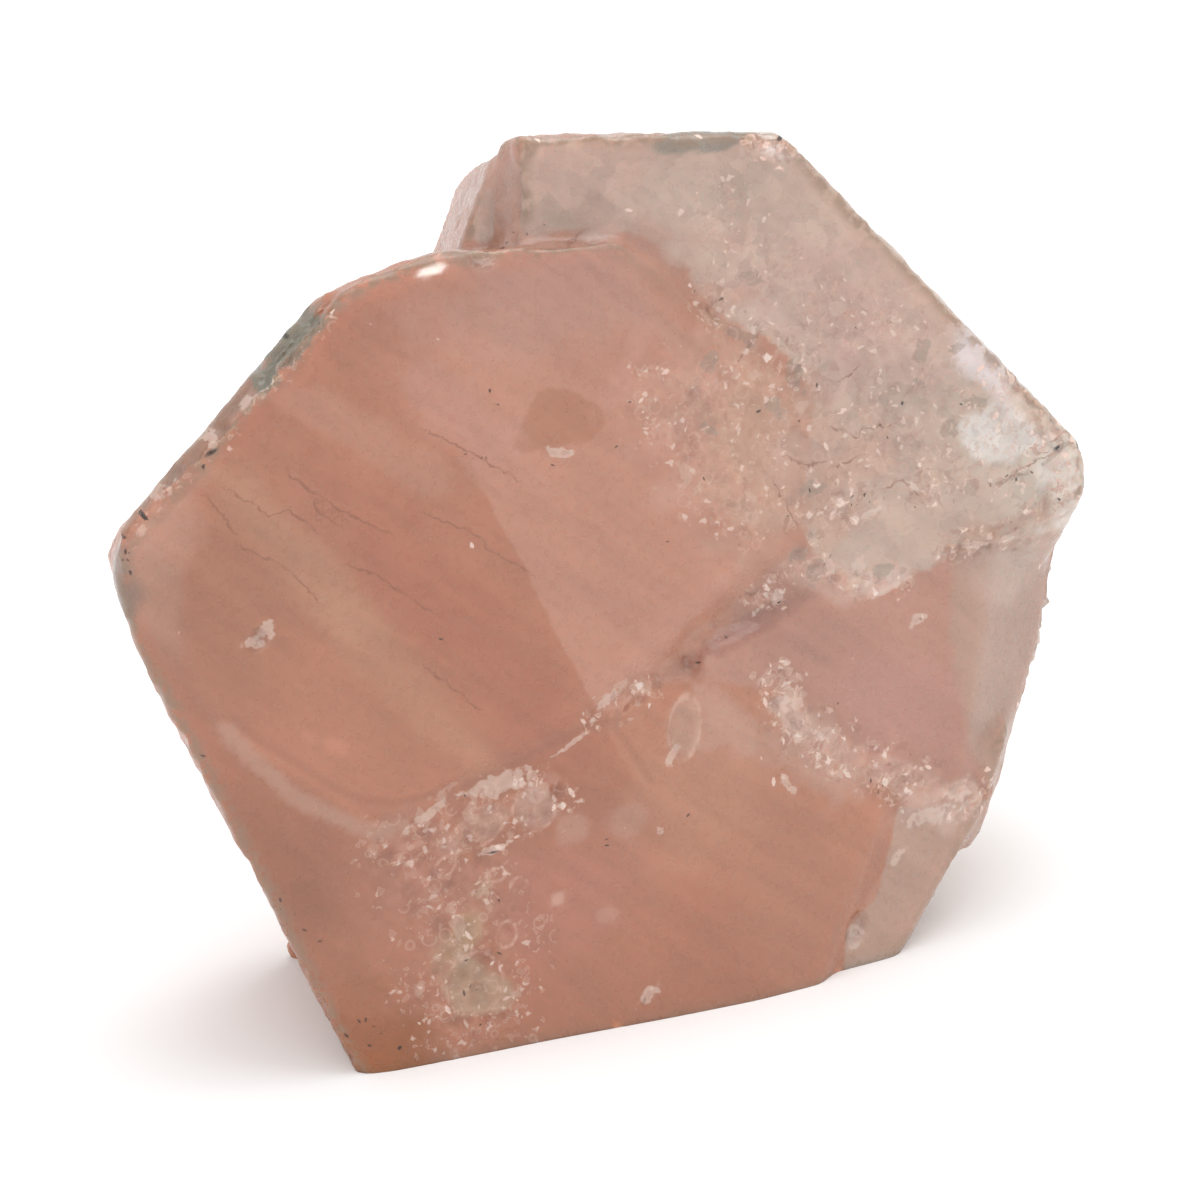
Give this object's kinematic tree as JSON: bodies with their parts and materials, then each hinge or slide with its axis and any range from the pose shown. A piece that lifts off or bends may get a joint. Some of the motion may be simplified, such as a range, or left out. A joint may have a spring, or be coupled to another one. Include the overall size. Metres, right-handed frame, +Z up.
{
  "type": "morganite specimen",
  "caption": "Rough peach-pink beryl crystal specimen with flat growth faces, etched pits and a paler prism grown into its back; stands upright on a flat foot.",
  "frame": {"origin": "middle of the bounding box's underside, on the flat foot", "axes": "+Z up, +X to the right across the broad end face, which looks towards -Y and leans back a little"},
  "size_m": [0.0608, 0.0308, 0.0514],
  "materials": {
    "morganite": "translucent peach-pink crystal, waxy etched faces, paler and greyer towards the upper right"
  },
  "bodies": {
    "root": {"morganite_crystal": "morganite"}
  },
  "joints": []
}
